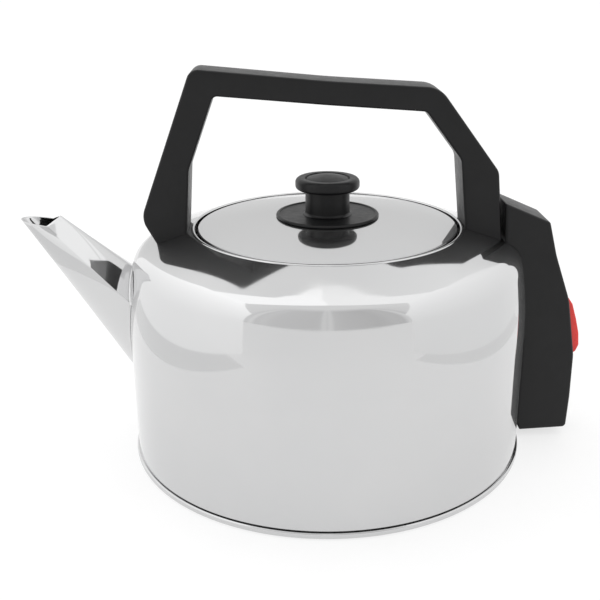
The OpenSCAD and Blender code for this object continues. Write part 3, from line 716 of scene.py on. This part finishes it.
# ---------------------------------------------------------------- the studio
def linear(grey):
    """The light level that shows as this grey of 0 to 255."""
    c = grey / 255
    return c / 12.92 if c <= 0.04045 else ((c + 0.055) / 1.055) ** 2.4


STEEL = 0.60                                # how much of a reflected light the polished steel gives back
LEFT, RIGHT, CEILING = -0.38, 0.35, 0.75    # the room's two side walls and its height
STRIP_Z = 0.001                             # just above the floor


def seen_in_steel(grey):
    """The light that shows as this grey where the polished steel reflects it."""
    return linear(grey) / STEEL


def glow(name, level, top_level):
    """An emitting material, which can fade from level at the floor to top_level at the ceiling."""
    mat = bpy.data.materials.new(name)
    mat.use_nodes = True
    tree = mat.node_tree
    tree.nodes.clear()
    emission = tree.nodes.new("ShaderNodeEmission")
    emission.inputs["Color"].default_value = (1, 1, 1, 1)
    emission.inputs["Strength"].default_value = level
    if top_level != level:
        coordinates = tree.nodes.new("ShaderNodeTexCoord")
        parts = tree.nodes.new("ShaderNodeSeparateXYZ")
        fade = tree.nodes.new("ShaderNodeMapRange")
        tree.links.new(coordinates.outputs["Object"], parts.inputs[0])
        tree.links.new(parts.outputs["Z"], fade.inputs["Value"])
        for socket, value in (("From Max", CEILING), ("To Min", level), ("To Max", top_level)):
            fade.inputs[socket].default_value = value
        tree.links.new(fade.outputs["Result"], emission.inputs["Strength"])
    surface = tree.nodes.new("ShaderNodeOutputMaterial")
    tree.links.new(emission.outputs["Emission"], surface.inputs["Surface"])
    return mat


def card(name, corners, grey, top_grey=None):
    """A soft light card, which lights the scene and shows in reflections but not to the camera itself."""
    mesh = bpy.data.meshes.new(name)
    mesh.from_pydata(corners, [], [tuple(range(len(corners)))])
    mesh.materials.append(glow(name, seen_in_steel(grey), seen_in_steel(top_grey or grey)))
    obj = bpy.data.objects.new(name, mesh)
    bpy.context.scene.collection.objects.link(obj)
    obj.visible_camera = False
    obj.visible_shadow = False


def wall(name, x, outline, grey, top_grey):
    """An upright card across the room's width at x, from its outline of (y, z)."""
    card(name, [(x, y, z) for y, z in outline], grey, top_grey)


def level_card(name, z, outline, grey):
    """A level card at height z, from its outline of (x, y)."""
    card(name, [(x, y, z) for x, y in outline], grey)


wall("left_wall", LEFT,
     [(-0.395, 0), (0.48, 0), (0.48, CEILING), (-0.10, CEILING), (-0.395, 0.40)], 216, 248)
wall("right_wall", RIGHT,
     [(-0.435, 0), (0.42, 0), (0.42, CEILING), (-0.12, CEILING), (-0.435, 0.38)], 206, 232)
level_card("top_left", CEILING, [(LEFT, -0.13), (0, -0.07), (0, 0.32), (LEFT, 0.32)], 244)
level_card("top_right", CEILING, [(0, -0.07), (RIGHT, -0.12), (RIGHT, 0.32), (0, 0.32)], 232)
level_card("left_strip", STRIP_Z, [(LEFT, -0.30), (-0.265, -0.30), (-0.265, 0.22), (LEFT, 0.22)], 198)
level_card("right_strip", STRIP_Z, [(0.285, -0.35), (RIGHT, -0.35), (RIGHT, 0.13), (0.285, 0.13)], 198)

FLOOR_HALF, FLOOR_Z = 12, -0.0002
floor_corners = [(-1, -1), (1, -1), (1, 1), (-1, 1)]
floor_mesh = bpy.data.meshes.new("floor")
floor_mesh.from_pydata([(x * FLOOR_HALF, y * FLOOR_HALF, FLOOR_Z) for x, y in floor_corners], [], [(0, 1, 2, 3)])
paper = Nodes("floor_paper")
paper.set(Base_Color=paper.mix(paper.noise(30, 3), (0.34, 0.34, 0.34), (0.35, 0.35, 0.35)), Roughness=0.9,
          Emission_Color=(1, 1, 1, 1), Emission_Strength=0.68, Specular_IOR_Level=0.1)
floor_mesh.materials.append(paper.mat)
floor = bpy.data.objects.new("floor", floor_mesh)
bpy.context.scene.collection.objects.link(floor)

# ---------------------------------------------------------------- the room beyond the cards
WORLD_STRENGTH = 2.0
world = bpy.data.worlds.new("studio")
world.use_nodes = True
bpy.context.scene.world = world
sky = world.node_tree
sky.nodes.clear()


def sky_node(kind):
    return sky.nodes.new(kind)


def sky_math(operation, a, b=None, clamp=False):
    node = sky_node("ShaderNodeMath")
    node.operation, node.use_clamp = operation, clamp
    for i, value in enumerate((a, b)):
        if value is None:
            continue
        if hasattr(value, "is_output"):
            sky.links.new(value, node.inputs[i])
        else:
            node.inputs[i].default_value = value
    return node.outputs[0]


def sky_color(grey):
    level = seen_in_steel(grey) / WORLD_STRENGTH
    return (level, level, level, 1)


def sky_ramp(azimuth, stops):
    """The room's grey by azimuth, from stops of (degrees, grey)."""
    node = sky_node("ShaderNodeValToRGB")
    sky.links.new(azimuth, node.inputs[0])
    elements = node.color_ramp.elements
    while len(elements) < len(stops):
        elements.new(0.5)
    for element, (degrees, grey) in zip(elements, stops):
        element.position, element.color = 0.5 + degrees / 360, sky_color(grey)
    return node.outputs["Color"]


coordinates = sky_node("ShaderNodeTexCoord")
direction = sky_node("ShaderNodeSeparateXYZ")
sky.links.new(coordinates.outputs["Generated"], direction.inputs[0])
turn = sky_math("ARCTAN2", direction.outputs["X"], sky_math("MULTIPLY", direction.outputs["Y"], -1.0))
azimuth = sky_math("ADD", sky_math("MULTIPLY", turn, 1 / (2 * math.pi)), 0.5)
height = sky_math("MULTIPLY", sky_math("ARCSINE", direction.outputs["Z"]), 2 / math.pi)

# round the room by azimuth in degrees, with 0 behind the camera and negative to the left
BACK_LEFT = [(-180, 203), (-166, 205), (-148, 217), (-110, 210), (-80, 205), (-50, 200)]
LEFT_FRAME = [(-47, 188), (-45.5, 203), (-44, 203), (-42.5, 186)]
LEFT_PANE = [(-38, 190), (-32, 184), (-10, 180)]
TWO_BARS = [(-7, 181), (-5, 200), (-3, 186), (-1, 200), (1, 181)]
RIGHT_PANE = [(8, 176), (26, 170), (34, 176), (40, 174)]
RIGHT_FRAME = [(41.5, 199), (43, 199), (45, 182), (48, 196)]
BACK_RIGHT = [(80, 205), (110, 208), (148, 215), (166, 205), (180, 203)]
WINDOW = LEFT_FRAME + LEFT_PANE + TWO_BARS + RIGHT_PANE + RIGHT_FRAME
around = sky_ramp(azimuth, BACK_LEFT + WINDOW + BACK_RIGHT)

# well above the horizon the room gives way to an even ceiling
up = sky_math("MULTIPLY", sky_math("SUBTRACT", height, 0.70), 7.7, clamp=True)
room = sky_node("ShaderNodeMixRGB")
sky.links.new(up, room.inputs[0])
sky.links.new(around, room.inputs[1])
room.inputs[2].default_value = sky_color(202)
background = sky_node("ShaderNodeBackground")
sky.links.new(room.outputs[0], background.inputs["Color"])

# low down behind the kettle the room is dimmer
near_horizon = sky_math("MULTIPLY", sky_math("SUBTRACT", 0.44, height), 3.2, clamp=True)
behind = sky_math("MULTIPLY", direction.outputs["Y"], 3.0, clamp=True)
dimming = sky_math("MULTIPLY", sky_math("MULTIPLY", near_horizon, behind), 0.46)
sky.links.new(sky_math("SUBTRACT", WORLD_STRENGTH, dimming), background.inputs["Strength"])
sky_out = sky_node("ShaderNodeOutputWorld")
sky.links.new(background.outputs[0], sky_out.inputs["Surface"])

# ---------------------------------------------------------------- the camera
lens = bpy.data.cameras.new("camera")
lens.lens, lens.sensor_width, lens.shift_x, lens.shift_y = 54, 36, -0.0458, 0
camera = bpy.data.objects.new("camera", lens)
camera.location = (-0.0229, -0.4681, 0.2560)
camera.rotation_euler = (math.radians(69.5), 0, math.radians(-2.8))
bpy.context.scene.collection.objects.link(camera)
bpy.context.scene.camera = camera
bpy.context.scene.view_settings.view_transform = "Standard"
